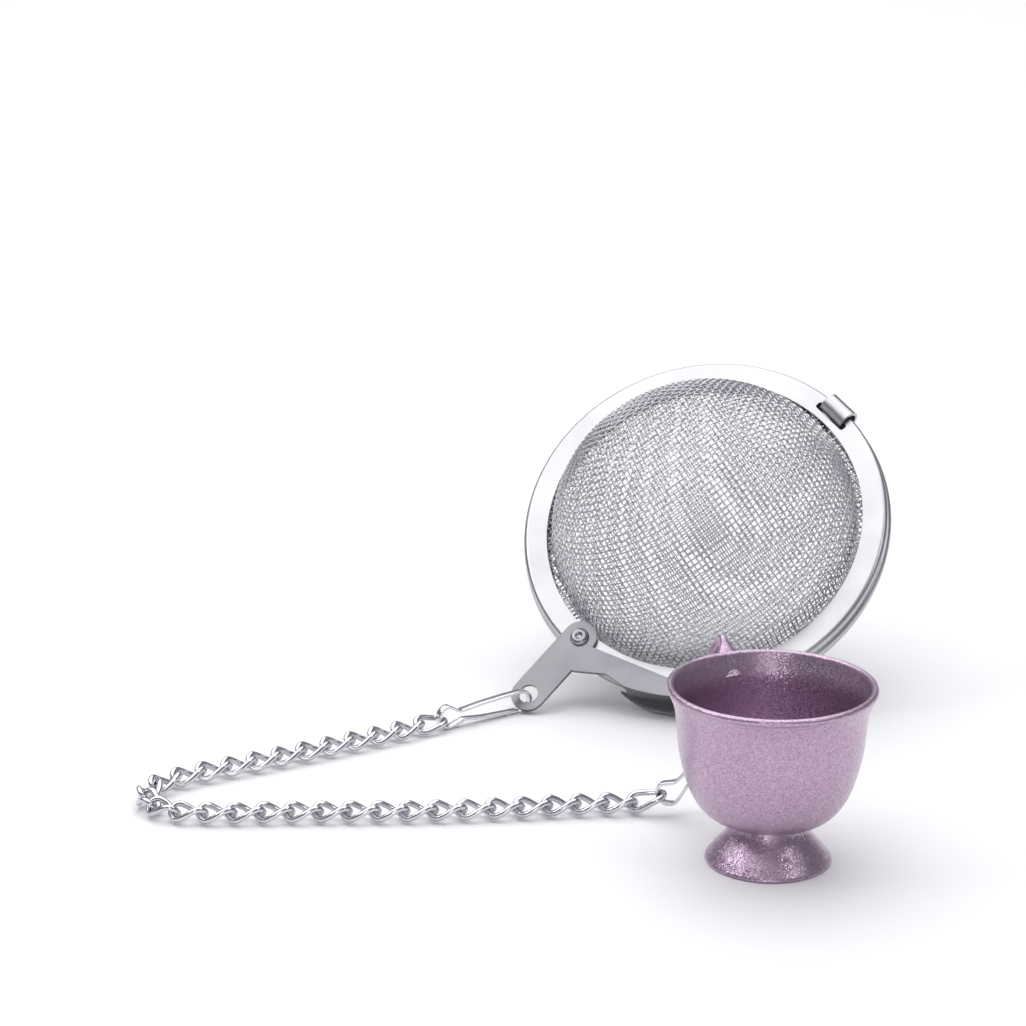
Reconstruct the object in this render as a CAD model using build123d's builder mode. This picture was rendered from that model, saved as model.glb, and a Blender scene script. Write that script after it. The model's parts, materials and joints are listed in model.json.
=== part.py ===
from build123d import *

import os
from math import atan2, cos, degrees, radians, sin, sqrt

# Mesh ball tea infuser on its chain, with a small teacup as the weight, lying on a table.
# +Z is up and the table is z = 0. The origin is the centre of the whole group's footprint.

# ---------------------------------------------------------------- driving dimensions (mm)
# Ball: two stamped rims, each holding a dome of woven wire
rim_radius = 28.5            # front rim, outside of its rolled edge
back_rim_step = 0.3          # how much larger the back rim is
rim_opening_radius = 24.7    # inner edge of the flat face
rim_depth = 1.6              # one rolled rim, face to parting side
sheet = 0.45                 # rim sheet
parting_gap = 0.2            # between the two closed rims
hem_reach = 3.2              # how far the folded-under hem reaches in
mesh_thickness = 0.5         # woven cloth, over the crossing wires
mesh_flange = 4.0            # flat edge of the cloth gripped in the rim
dome_radius = 23.75          # outside of both domes, at the rim
front_dome_height = 19.4     # above the parting plane
back_dome_height = 24.8      # the back half is the deeper one
knuckle_share = 0.8          # of a dome's rise, the radius where it leaves the rim
grip_clearance = 0.05        # cloth to rim sheet

# Hinge: a tab of the back rim curls round the bar between a slot and the rim's edge
hinge_angle = 50.6           # about the rim's axis
tab_width = 4.8
tab_clearance = 0.55         # round the bar
tab_root_angle = -75.0       # where the curl leaves the back rim
tab_tip_angle = 162.0        # where it ends, inside the slot
slot_length = 6.2
slot_width = 1.2

# Latch lever on its rivet, with the chain hole in its tip
rivet_angle = -125.0
rivet_pitch_radius = 26.4
rivet_shank_radius = 0.8
rivet_head_radius = 1.45
rivet_head_height = 0.6
dimple_depth = 0.2
dimple_sphere = 1.1          # radius of the punch mark
lever_sheet = 0.6
lever_width = 5.4
lever_heading = -120.5       # the handle's direction about the rim's axis
lever_reach = 11.8           # rivet to chain hole
chain_hole_radius = 1.5
notch_along = 4.8            # corner between the handle and the arm, from the rivet
notch_across = 2.95
arm_middle_angle = -104.0    # the arm's inner edge, at its middle and its end
arm_middle_radius = 25.7
arm_end_radius = 27.3
arm_root_angle = -110.0      # the arm's outer edge, next to the handle
arm_root_radius = 28.9
arm_end_angle = -68.0
claw_start_angle = -103.0    # where the arm folds down past the rims
claw_step = 1.6              # the arm's inner edge at its end, inside the claw
lip_start_angle = -106.0     # the lip widens from here
lip_full_angle = -90.0
lip_width = 1.75
lip_start_width = 0.2
claw_clearance = 0.35        # claw to the back rim's edge
running_clearance = 0.05

# Flat-strip clips
strip_width = 0.8
strip_thickness = 0.35
clip_length = 16.6
clip_height = 3.7
waist_drop = 0.75            # the strands pinch together before the far end
waist_place = 0.72           # of the straight part's length
waist_run = 0.14             # of the straight part's length, each side of the waist
lever_clip_heading = 212.7   # plan direction, from the lever to the chain

# Chain
wire = 0.87
link_width = 3.5             # outside
link_pitch = 4.0
link_play = 0.13             # between two wires that hook
first_link_play = 0.35       # between a strip and the link on it
curb_roll = 45.0             # turn of a link about the chain's line
steep_roll = 60.0            # the links next to the flat end ones
last_link_lift = 1.3         # the last link rises to the cup's clip

# Teacup
cup_rim_radius = 14.0
cup_height = 24.9
cup_wall = 0.9
lip_flare_height = 3.3       # the wall flares out over this height
body_radius = 12.2           # middle of the wall, just under the flare
foot_radius = 8.5
foot_height = 5.4
neck_radius = 4.7
foot_edge = 0.7
foot_hollow_depth = 1.2
foot_hollow_rim = 1.3
foot_hollow_slope = 1.6
handle_heading = 110.0       # plan direction of the handle
handle_radius = 0.85
thumb_rise = 1.4             # the handle's upper corner above the lip
handle_reach = 5.3           # the handle's side beyond the lip
bar_radius_out = 10.4        # where the handle's lower end meets the bowl
bar_share = 0.87             # where the clip hooks, of the handle's length

# Where things lie on the table, from the ball's centre
ball_place = (27.04, 30.56)
rim_heading = -18.2          # the face's normal, turned from straight ahead
rim_tilt = 42.9              # the face's normal, above the table
cup_place = (4.4, -71.6)
table_gap = 0.02

# ---------------------------------------------------------------- frames and heights
heading = radians(rim_heading)
tilt = radians(rim_tilt)
face_normal = Vector(sin(heading) * cos(tilt), -cos(heading) * cos(tilt), sin(tilt))
face_right = Vector(cos(heading), sin(heading), 0)
face_up = face_normal.cross(face_right)

gap = parting_gap / 2
flange_low = gap + rim_depth / 2 - mesh_thickness / 2
flange_high = flange_low + mesh_thickness
bar_height = gap + rim_depth / 2
face_height = gap + rim_depth


def dome_arcs(height):
    """Knuckle and crown radii of a dome's outside, and the angle where one arc runs into the other."""
    rise = height - flange_high
    knuckle = rise * knuckle_share
    inset = dome_radius - knuckle
    crown = (inset ** 2 + rise ** 2 - knuckle ** 2) / (2 * (rise - knuckle))
    return knuckle, crown, degrees(atan2(crown - rise, inset))


# The back dome's crown stands on the table at the tilt of the ball.
back_crown = dome_arcs(back_dome_height)[1]
crown_middle = back_dome_height - back_crown
ball_centre_height = back_crown + crown_middle * face_normal.Z + table_gap
ball_centre = Vector(ball_place[0], ball_place[1], ball_centre_height)
ring = Plane(origin=ball_centre, x_dir=face_right, z_dir=face_normal)
ring_section = Plane(origin=ball_centre, x_dir=face_right, z_dir=-face_up)
ring_axis = Axis(ball_centre, face_normal)


def polar(radius, angle):
    """Point on the rim's plane."""
    return (radius * cos(radians(angle)), radius * sin(radians(angle)))


def plan(x, y, z):
    """Point given from the ball's centre in plan, with z above the table."""
    return Vector(ball_place[0] + x, ball_place[1] + y, z)


def save(builder, name):
    """Labels a finished piece and writes it as its own file."""
    builder.part.label = name
    export_step(builder.part, f"parts/{name}.step")


os.makedirs("parts", exist_ok=True)


# ---------------------------------------------------------------- rims
bar_radius = rim_radius - rim_depth / 2      # middle of the rolled edge
slot_outer = bar_radius - rim_depth / 2
slot_middle = slot_outer - slot_width / 2


def rim_profile(outer_radius, side):
    """Sheet folded into a channel that grips the cloth; side is 1 for the front and -1 for the back."""
    roll = rim_depth / 2
    bend = outer_radius - roll
    middle = side * (gap + roll)
    face = middle + side * roll
    under = middle - side * roll
    inner_roll = roll - sheet
    hem_radius = outer_radius - hem_reach
    hem_top = under + side * sheet
    face_back = face - side * sheet
    with BuildSketch(ring_section) as profile:
        with BuildLine():
            Line((rim_opening_radius, face), (bend, face))
            ThreePointArc((bend, face), (outer_radius, middle), (bend, under))
            Line((bend, under), (hem_radius, under))
            Line((hem_radius, under), (hem_radius, hem_top))
            Line((hem_radius, hem_top), (bend, hem_top))
            ThreePointArc((bend, hem_top), (bend + inner_roll, middle), (bend, face_back))
            Line((bend, face_back), (rim_opening_radius, face_back))
            Line((rim_opening_radius, face_back), (rim_opening_radius, face))
        make_face()
    return profile.sketch


hinge_outward = face_right * cos(radians(hinge_angle)) + face_up * sin(radians(hinge_angle))
# At the hinge slot, on the parting plane: x is outward and y is along the rim.
slot_plane = Plane(
    origin=ball_centre + hinge_outward * slot_middle,
    x_dir=hinge_outward,
    z_dir=face_normal,
)
rivet_place = polar(rivet_pitch_radius, rivet_angle)

with BuildPart() as front_rim:
    revolve(rim_profile(rim_radius, 1), axis=ring_axis)
    with BuildSketch(slot_plane):
        RectangleRounded(slot_width, slot_length, slot_width / 3)
    extrude(amount=face_height + gap, mode=Mode.SUBTRACT)
    with BuildSketch(ring):
        with Locations(rivet_place):
            Circle(rivet_shank_radius + running_clearance / 2)
    extrude(amount=face_height + gap, mode=Mode.SUBTRACT)
save(front_rim, "front_rim")

# The tab: a curl round the bar, growing out of the back rim's edge.
tab_inner = rim_depth / 2 + tab_clearance
tab_outer = tab_inner + sheet
tab_sweep = tab_tip_angle - tab_root_angle
hinge_centre = ball_centre + hinge_outward * bar_radius + face_normal * bar_height
hinge_axis = hinge_outward.cross(face_normal)
tab_section = Plane(origin=hinge_centre, x_dir=hinge_outward, z_dir=hinge_axis)

with BuildPart() as back_rim:
    revolve(rim_profile(rim_radius + back_rim_step, -1), axis=ring_axis)
    with BuildSketch(tab_section):
        with BuildLine():
            CenterArc((0, 0), tab_outer, tab_root_angle, tab_sweep)
            CenterArc((0, 0), tab_inner, tab_root_angle, tab_sweep)
            Line(polar(tab_inner, tab_root_angle), polar(tab_outer, tab_root_angle))
            Line(polar(tab_inner, tab_tip_angle), polar(tab_outer, tab_tip_angle))
        make_face()
    extrude(amount=tab_width / 2, both=True)
save(back_rim, "back_rim")


# ---------------------------------------------------------------- woven domes
def dome_profile(height, side):
    """Cloth pressed to a knuckle and a crown arc, with the flat edge that the rim grips."""
    knuckle, crown, meeting = dome_arcs(height)
    knuckle_middle = (dome_radius - knuckle, side * flange_high)
    crown_height = height - crown
    crown_place = (0, side * crown_height)
    inside = mesh_thickness
    with BuildSketch(ring_section) as profile:
        with BuildLine():
            CenterArc(knuckle_middle, knuckle, 0, side * meeting)
            CenterArc(crown_place, crown, side * meeting, side * (90 - meeting))
            Line((0, side * height), (0, side * (height - inside)))
            CenterArc(crown_place, crown - inside, side * meeting, side * (90 - meeting))
            CenterArc(knuckle_middle, knuckle - inside, 0, side * meeting)
            Polyline(
                (dome_radius - inside, side * flange_high),
                (dome_radius - inside, side * flange_low),
                (dome_radius + mesh_flange, side * flange_low),
                (dome_radius + mesh_flange, side * flange_high),
                (dome_radius, side * flange_high),
            )
        make_face()
    return profile.sketch


with BuildPart() as front_mesh:
    revolve(dome_profile(front_dome_height, 1), axis=ring_axis)
    with BuildSketch(slot_plane):
        Rectangle(slot_width + 2 * running_clearance, slot_length)
    extrude(amount=face_height, mode=Mode.SUBTRACT)
    with BuildSketch(ring):
        with Locations(rivet_place):
            Circle(rivet_shank_radius + running_clearance / 2)
    extrude(amount=face_height, mode=Mode.SUBTRACT)
save(front_mesh, "front_mesh")

with BuildPart() as back_mesh:
    revolve(dome_profile(back_dome_height, -1), axis=ring_axis)
save(back_mesh, "back_mesh")


# ---------------------------------------------------------------- latch
lever_low = face_height + running_clearance
lever_high = lever_low + lever_sheet
hole_place = (
    rivet_place[0] + lever_reach * cos(radians(lever_heading)),
    rivet_place[1] + lever_reach * sin(radians(lever_heading)),
)
claw_inner = rim_radius + back_rim_step + claw_clearance
claw_outer = claw_inner + sheet
lip_high = -gap - rim_depth
lip_low = lip_high - lever_sheet
handle_side = (-sin(radians(lever_heading)), cos(radians(lever_heading)))


def beside_handle(along, across):
    """Point on the lever, along its handle from the rivet and across it."""
    return (
        rivet_place[0] + along * cos(radians(lever_heading)) + across * handle_side[0],
        rivet_place[1] + along * sin(radians(lever_heading)) + across * handle_side[1],
    )


def ring_band(inner, outer, start, end, height):
    """Flat piece between two arcs about the rim's axis."""
    with BuildSketch(ring.offset(height)) as band:
        with BuildLine():
            CenterArc((0, 0), inner, start, end - start)
            CenterArc((0, 0), outer, start, end - start)
            Line(polar(inner, start), polar(outer, start))
            Line(polar(inner, end), polar(outer, end))
        make_face()
    return band.sketch


with BuildPart() as latch_lever:
    with BuildSketch(ring.offset(lever_low)):
        with Locations(rivet_place, hole_place):
            Circle(lever_width / 2)
        with BuildLine():
            Polyline(
                beside_handle(0, -lever_width / 2),
                beside_handle(lever_reach, -lever_width / 2),
                beside_handle(lever_reach, lever_width / 2),
                beside_handle(0, lever_width / 2),
                close=True,
            )
        make_face()
        with BuildLine():
            inner_edge = ThreePointArc(
                beside_handle(0, lever_width / 2),
                polar(arm_middle_radius, arm_middle_angle),
                polar(arm_end_radius, (arm_middle_angle + arm_end_angle) / 2),
            )
            Line(inner_edge @ 1, polar(claw_inner - claw_step, arm_end_angle))
            Line(polar(claw_inner - claw_step, arm_end_angle), polar(claw_outer, arm_end_angle))
            CenterArc((0, 0), claw_outer, arm_end_angle, claw_start_angle - arm_end_angle)
            Polyline(
                polar(claw_outer, claw_start_angle),
                polar(arm_root_radius, arm_root_angle),
                beside_handle(notch_along, notch_across),
                beside_handle(notch_along, 0),
                beside_handle(0, 0),
                inner_edge @ 0,
            )
        make_face()
        with Locations(rivet_place):
            Circle(rivet_shank_radius + running_clearance, mode=Mode.SUBTRACT)
        with Locations(hole_place):
            Circle(chain_hole_radius, mode=Mode.SUBTRACT)
    extrude(amount=lever_sheet)
    claw = ring_band(claw_inner, claw_outer, claw_start_angle, arm_end_angle, lip_low)
    extrude(claw, amount=lever_high - lip_low)
    lip = ring_band(claw_inner, claw_inner + lip_width, lip_full_angle, arm_end_angle, lip_low)
    extrude(lip, amount=lever_sheet)
    with BuildSketch(ring.offset(lip_low)):
        with BuildLine():
            CenterArc((0, 0), claw_inner, lip_full_angle, lip_start_angle - lip_full_angle)
            Polyline(
                polar(claw_inner, lip_start_angle),
                polar(claw_inner + lip_start_width, lip_start_angle),
            )
            ThreePointArc(
                polar(claw_inner + lip_start_width, lip_start_angle),
                polar(claw_inner + lip_width * 0.8, (lip_start_angle + lip_full_angle) / 2),
                polar(claw_inner + lip_width, lip_full_angle),
            )
            Line(polar(claw_inner + lip_width, lip_full_angle), polar(claw_inner, lip_full_angle))
        make_face()
    extrude(amount=lever_sheet)
save(latch_lever, "latch_lever")

rivet_section = Plane(
    origin=ring.from_local_coords((rivet_place[0], rivet_place[1], 0)),
    x_dir=face_right,
    z_dir=-face_up,
)
head_base = lever_high + running_clearance
head_top = head_base + rivet_head_height
head_shoulder = head_base + rivet_head_height / 4
dome_start = rivet_head_radius * 0.55        # the head is flat inside this radius

with BuildPart() as latch_rivet:
    with BuildSketch(rivet_section):
        with BuildLine():
            Polyline(
                (0, head_top),
                (0, gap),
                (rivet_shank_radius, gap),
                (rivet_shank_radius, head_base),
                (rivet_head_radius, head_base),
                (rivet_head_radius, head_shoulder),
            )
            ThreePointArc(
                (rivet_head_radius, head_shoulder),
                (rivet_head_radius * 0.83, head_base + rivet_head_height * 0.8),
                (dome_start, head_top),
            )
            Line((dome_start, head_top), (0, head_top))
        make_face()
    revolve(axis=Axis(rivet_section.origin, face_normal))
    with Locations(rivet_section.from_local_coords((0, head_top + dimple_sphere - dimple_depth, 0))):
        Sphere(dimple_sphere, mode=Mode.SUBTRACT)
save(latch_rivet, "latch_rivet")


# ---------------------------------------------------------------- clips
half_height = clip_height / 2
end_radius = half_height - strip_thickness / 2


def strip_loop(plane, length):
    """Strip bent into a long loop with a pinched waist. x runs along it from its near end, y is up."""
    straight = length - clip_height
    waist_x = half_height + straight * waist_place
    run = straight * waist_run
    level = end_radius
    far_x = half_height + straight
    with BuildPart() as loop:
        with BuildSketch(plane):
            with BuildLine() as middle:
                upper = Polyline(
                    (half_height, level),
                    (waist_x - run, level),
                    (waist_x, level - waist_drop),
                    (waist_x + run, level),
                    (far_x, level),
                )
                far_end = ThreePointArc(upper @ 1, (far_x + end_radius, 0), (far_x, -level))
                lower = Polyline(far_end @ 1, (half_height, -level))
                ThreePointArc(lower @ 1, (half_height - end_radius, 0), upper @ 0)
            make_face()
            offset(amount=strip_thickness / 2)
            offset(amount=-strip_thickness, mode=Mode.SUBTRACT)
        extrude(amount=strip_width / 2, both=True)
    return loop


hole_centre = ring.from_local_coords((hole_place[0], hole_place[1], (lever_low + lever_high) / 2))
clip_direction = Vector(cos(radians(lever_clip_heading)), sin(radians(lever_clip_heading)), 0)
# The near end's bend passes through the hole's centre.
hole_rise = hole_centre.Z - half_height - table_gap
clip_back = sqrt(end_radius ** 2 - hole_rise ** 2)
clip_start = Vector(hole_centre.X, hole_centre.Y, half_height + table_gap)
clip_start -= clip_direction * (half_height - clip_back)
lever_clip_plane = Plane(
    origin=clip_start,
    x_dir=clip_direction,
    z_dir=clip_direction.cross(Vector(0, 0, 1)),
)
lever_clip = strip_loop(lever_clip_plane, clip_length)
save(lever_clip, "lever_clip")


# ---------------------------------------------------------------- chain
link_radius = (link_width - wire) / 2        # bend of a link's end, at the wire's middle
hook_depth = wire + link_play                # between the middles of two wires that hook
chain_height = link_radius * sin(radians(steep_roll)) + wire / 2 + table_gap
strip_hook = strip_thickness / 2 + wire / 2 + first_link_play

clip_far_end = clip_start + clip_direction * (clip_length - strip_thickness / 2)
chain_start = clip_far_end - clip_direction * (strip_hook - hook_depth / 2)

# The chain's route on the table, from the lever's clip round the turn to the cup.
chain_route = (
    (-49.4, -30.0),
    (-60.4, -36.7),
    (-71.2, -42.9),
    (-77.7, -46.9),
    (-80.9, -51.2),
    (-80.6, -55.6),
    (-77.5, -58.6),
    (-72.6, -59.6),
    (-61.5, -59.3),
    (-50.4, -59.1),
    (-38.4, -58.6),
    (-26.7, -57.3),
    (-17.0, -56.2),
    (-9.2, -56.4),
)
route = Spline(
    Vector(chain_start.X, chain_start.Y, chain_height),
    *[plan(x, y, chain_height) for x, y in chain_route],
)
link_count = round(route.length / link_pitch)
hooks = [route.position_at(number / link_count) for number in range(link_count + 1)]
hooks[-1] += Vector(0, 0, last_link_lift)


def link_roll(number):
    """Turn of a link about the chain's line: neighbours lie crosswise, the end links flat."""
    from_end = min(number, link_count - 1 - number)
    if from_end == 0:
        return 0.0
    return (steep_roll if from_end == 1 else curb_roll) * (-1) ** (number + 1)


def link_plane(number):
    """Plane of one link, with x along the chain."""
    start, end = hooks[number], hooks[number + 1]
    along = (end - start).normalized()
    level = Vector(0, 0, 1).cross(along).normalized()
    upright = along.cross(level).rotate(Axis((0, 0, 0), along), link_roll(number))
    return Plane(origin=(start + end) / 2, x_dir=along, z_dir=upright)


links = []
for number in range(link_count):
    reach = (hooks[number + 1] - hooks[number]).length + hook_depth
    with BuildPart() as link:
        with BuildLine(link_plane(number)) as loop:
            half_side = reach / 2 - link_radius
            top = Line((-half_side, link_radius), (half_side, link_radius))
            far_bend = (half_side + link_radius, 0)
            right = ThreePointArc(top @ 1, far_bend, (half_side, -link_radius))
            bottom = Line(right @ 1, (-half_side, -link_radius))
            ThreePointArc(bottom @ 1, (-half_side - link_radius, 0), top @ 0)
        with BuildSketch(Plane(origin=top @ 0, z_dir=top % 0)):
            Circle(wire / 2)
        sweep(path=loop.wires()[0])
    save(link, f"chain_link_{number + 1:02d}")
    links.append(link)


# ---------------------------------------------------------------- teacup
cup_centre = plan(cup_place[0], cup_place[1], 0)
cup_section = Plane(origin=cup_centre, x_dir=(1, 0, 0), z_dir=(0, -1, 0))
cup_axis = Axis(cup_centre, (0, 0, 1))
# Middle of the wall, from the neck up to the flared lip
flare_start = cup_height - lip_flare_height
bowl_rise = flare_start - foot_height
belly = (
    (neck_radius, foot_height + cup_wall / 2),
    (body_radius * 0.66, foot_height + bowl_rise * 0.12),
    (body_radius * 0.84, foot_height + bowl_rise * 0.3),
    (body_radius * 0.95, foot_height + bowl_rise * 0.58),
    (body_radius, flare_start),
    (cup_rim_radius - cup_wall / 2, cup_height - cup_wall / 2),
)

with BuildPart() as cup_bowl:
    with BuildSketch(cup_section):
        with BuildLine():
            wall_line = Spline(*belly, tangents=((1, 0.1), (1, 1)))
        trace(line_width=cup_wall)
        with BuildLine():
            Polyline(
                (0, foot_height),
                (neck_radius, foot_height),
                (neck_radius + cup_wall, foot_height + cup_wall),
                (0, foot_height + cup_wall),
                close=True,
            )
        make_face()
        with Locations((cup_rim_radius - cup_wall / 2, cup_height - cup_wall / 2)):
            Circle(cup_wall / 2)
    revolve(axis=cup_axis)
save(cup_bowl, "cup_bowl")

with BuildPart() as cup_foot:
    with BuildSketch(cup_section):
        with BuildLine():
            flare = Spline(
                (neck_radius, foot_height),
                (neck_radius + 1.6, foot_height - 2.3),
                (foot_radius - 0.35, foot_edge),
                tangents=((0.35, -1), (1, -0.8)),
            )
            edge = ThreePointArc(flare @ 1, (foot_radius, foot_edge / 2), (foot_radius - 0.25, 0))
            Polyline(
                edge @ 1,
                (foot_radius - foot_hollow_rim, 0),
                (foot_radius - foot_hollow_rim - foot_hollow_slope, foot_hollow_depth),
                (0, foot_hollow_depth),
                (0, foot_height),
                flare @ 0,
            )
        make_face()
    revolve(axis=cup_axis)
save(cup_foot, "cup_foot")

handle_out = Vector(cos(radians(handle_heading)), sin(radians(handle_heading)), 0)
handle_plane = Plane(origin=cup_centre, x_dir=handle_out, z_dir=handle_out.cross(Vector(0, 0, 1)))
side_radius = cup_rim_radius + handle_reach - 0.6
handle_path_points = (
    (body_radius + 0.3, flare_start + 0.2),
    (cup_rim_radius + 2.4, cup_height + thumb_rise),
    (side_radius, cup_height - 6.1),
    (side_radius - 1.0, cup_height - 13.5),
    (bar_radius_out, foot_height + 5.0),
)

with BuildPart() as cup_handle:
    with BuildLine(handle_plane) as handle_line:
        FilletPolyline(*handle_path_points, radius=(1.0, 3.4, 3.0))
    handle_wire = handle_line.wires()[0]
    with BuildSketch(Plane(origin=handle_wire @ 0, z_dir=handle_wire % 0)):
        Circle(handle_radius)
    sweep(path=handle_wire)
    add(cup_bowl.part, mode=Mode.SUBTRACT)
save(cup_handle, "cup_handle")

# The second clip runs from the handle's lower bar down to the last link.
bar_place = handle_wire.position_at(bar_share)
last_along = (hooks[-1] - hooks[-2]).normalized()
strip_place = hooks[-1] - last_along * (strip_hook - hook_depth / 2)
far_middle = strip_place + last_along * end_radius
cup_clip_direction = (far_middle - bar_place).normalized()
bar_inset = clip_length - half_height - (far_middle - bar_place).length
towards_chain = Vector(cup_clip_direction.X, cup_clip_direction.Y, 0).normalized()
cup_clip_plane = Plane(
    origin=bar_place - cup_clip_direction * bar_inset,
    x_dir=cup_clip_direction,
    z_dir=towards_chain.cross(Vector(0, 0, 1)),
)
cup_clip = strip_loop(cup_clip_plane, clip_length)
save(cup_clip, "cup_clip")
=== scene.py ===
"""Mesh ball tea infuser with its chain and teacup weight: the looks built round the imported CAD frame."""

import json
import logging
import math
from collections.abc import Callable
from dataclasses import dataclass, field
from enum import Enum

import bpy
import numpy as np
from mathutils import Matrix, Vector


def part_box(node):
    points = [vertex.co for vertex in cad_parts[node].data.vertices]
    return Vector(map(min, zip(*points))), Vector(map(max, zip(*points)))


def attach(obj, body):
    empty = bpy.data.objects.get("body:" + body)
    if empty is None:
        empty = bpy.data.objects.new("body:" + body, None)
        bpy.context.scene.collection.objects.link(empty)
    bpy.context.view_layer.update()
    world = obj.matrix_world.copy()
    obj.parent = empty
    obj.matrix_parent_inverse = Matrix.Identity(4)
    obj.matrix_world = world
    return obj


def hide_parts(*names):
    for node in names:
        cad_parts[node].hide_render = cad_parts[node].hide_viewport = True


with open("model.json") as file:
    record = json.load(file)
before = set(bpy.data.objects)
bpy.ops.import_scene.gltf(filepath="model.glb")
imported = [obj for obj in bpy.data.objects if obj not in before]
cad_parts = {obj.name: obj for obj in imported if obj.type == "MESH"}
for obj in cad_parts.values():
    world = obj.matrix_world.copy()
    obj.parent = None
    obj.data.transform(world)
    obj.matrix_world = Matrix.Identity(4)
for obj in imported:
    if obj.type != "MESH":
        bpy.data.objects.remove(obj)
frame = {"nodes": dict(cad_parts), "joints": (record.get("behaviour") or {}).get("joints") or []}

log = logging.getLogger("infuser")

MM = 0.001


class Slot(Enum):
    """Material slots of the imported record."""

    RIM = "rim_steel"
    CLOTH = "woven_wire"
    LEVER = "lever_steel"
    RIVET = "rivet_steel"
    STRIP = "strip_steel"
    CHAIN = "chain_steel"
    LILAC = "lilac_finish"


class Side(Enum):
    """Which half of the ball, as the sign of its dome along the rim's normal."""

    FRONT = 1
    BACK = -1


class Strand(Enum):
    """One of the two crossing sets of wires in a cloth, as the sign of its first crest."""

    WARP = 1
    WEFT = -1


# ---------------------------------------------------------------- numbers and arrays
def unit(vectors: np.ndarray) -> np.ndarray:
    """Vectors scaled to length one."""
    return vectors / np.linalg.norm(vectors, axis=-1, keepdims=True)


def ease(share: np.ndarray) -> np.ndarray:
    """Smooth step from 0 to 1 with level ends."""
    held = np.clip(share, 0.0, 1.0)
    return held * held * (3.0 - 2.0 * held)


def colour(hex_code: str) -> tuple[float, float, float, float]:
    """Linear RGBA of an sRGB hex code."""
    parts = np.array([int(hex_code[i : i + 2], 16) for i in (1, 3, 5)]) / 255.0
    linear = np.where(parts <= 0.04045, parts / 12.92, ((parts + 0.055) / 1.055) ** 2.4)
    return (*linear.tolist(), 1.0)


def smooth_path(corners: np.ndarray, samples: int) -> np.ndarray:
    """Evenly spaced points on the Catmull-Rom curve through the corners.

    Args:
        corners: Points the curve passes through, one a row.
        samples: How many points to return.

    Returns:
        The points, with equal steps of arc length between them.
    """
    padded = np.vstack([2 * corners[0] - corners[1], corners, 2 * corners[-1] - corners[-2]])
    t = np.linspace(0.0, len(corners) - 1.0, samples * 8)
    first = np.minimum(t.astype(int), len(corners) - 2)
    f = (t - first)[:, None]
    a, b, c, d = (padded[first + shift] for shift in range(4))
    curve = 0.5 * (
        2 * b + (c - a) * f + (2 * a - 5 * b + 4 * c - d) * f**2 + (3 * b - a - 3 * c + d) * f**3
    )
    return even_steps(curve, samples)


def even_steps(curve: np.ndarray, samples: int) -> np.ndarray:
    """Points at equal arc-length steps along a polyline."""
    length = np.concatenate([[0.0], np.cumsum(np.linalg.norm(np.diff(curve, axis=0), axis=1))])
    wanted = np.linspace(0.0, length[-1], samples)
    return np.stack([np.interp(wanted, length, axis) for axis in curve.T], axis=1)


# ---------------------------------------------------------------- mesh surfaces
@dataclass
class Surface:
    """A quad mesh as arrays, which becomes one piece."""

    points: np.ndarray
    quads: np.ndarray

    def piece(self, name: str) -> bpy.types.Object:
        """Object with this surface's vertices, at the frame's origin.

        Args:
            name: Name of the piece.

        Returns:
            The linked object, smooth shaded.
        """
        mesh = bpy.data.meshes.new(name)
        count = len(self.quads)
        mesh.vertices.add(len(self.points))
        mesh.vertices.foreach_set("co", (self.points * MM).astype(np.float32).ravel())
        mesh.loops.add(count * 4)
        mesh.loops.foreach_set("vertex_index", self.quads.astype(np.int32).ravel())
        mesh.polygons.add(count)
        mesh.polygons.foreach_set("loop_start", np.arange(count, dtype=np.int32) * 4)
        mesh.polygons.foreach_set("use_smooth", np.ones(count, dtype=bool))
        mesh.update(calc_edges=True)
        mesh.validate()
        obj = bpy.data.objects.new(name, mesh)
        bpy.context.scene.collection.objects.link(obj)
        return obj


def round_outline(sides: int, power: float = 1.0) -> np.ndarray:
    """Unit outline of a section, as (along the normal, along the side) pairs.

    The two coordinates are the cosine and sine of even angles, each raised to the power with its
    sign kept. A power of 1 is a circle and a small one is a rectangle with soft corners.
    """
    angle = 2 * np.pi * (np.arange(sides) + 0.5) / sides
    pair = np.stack([np.cos(angle), np.sin(angle)], axis=1)
    return np.sign(pair) * np.abs(pair) ** power


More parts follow.
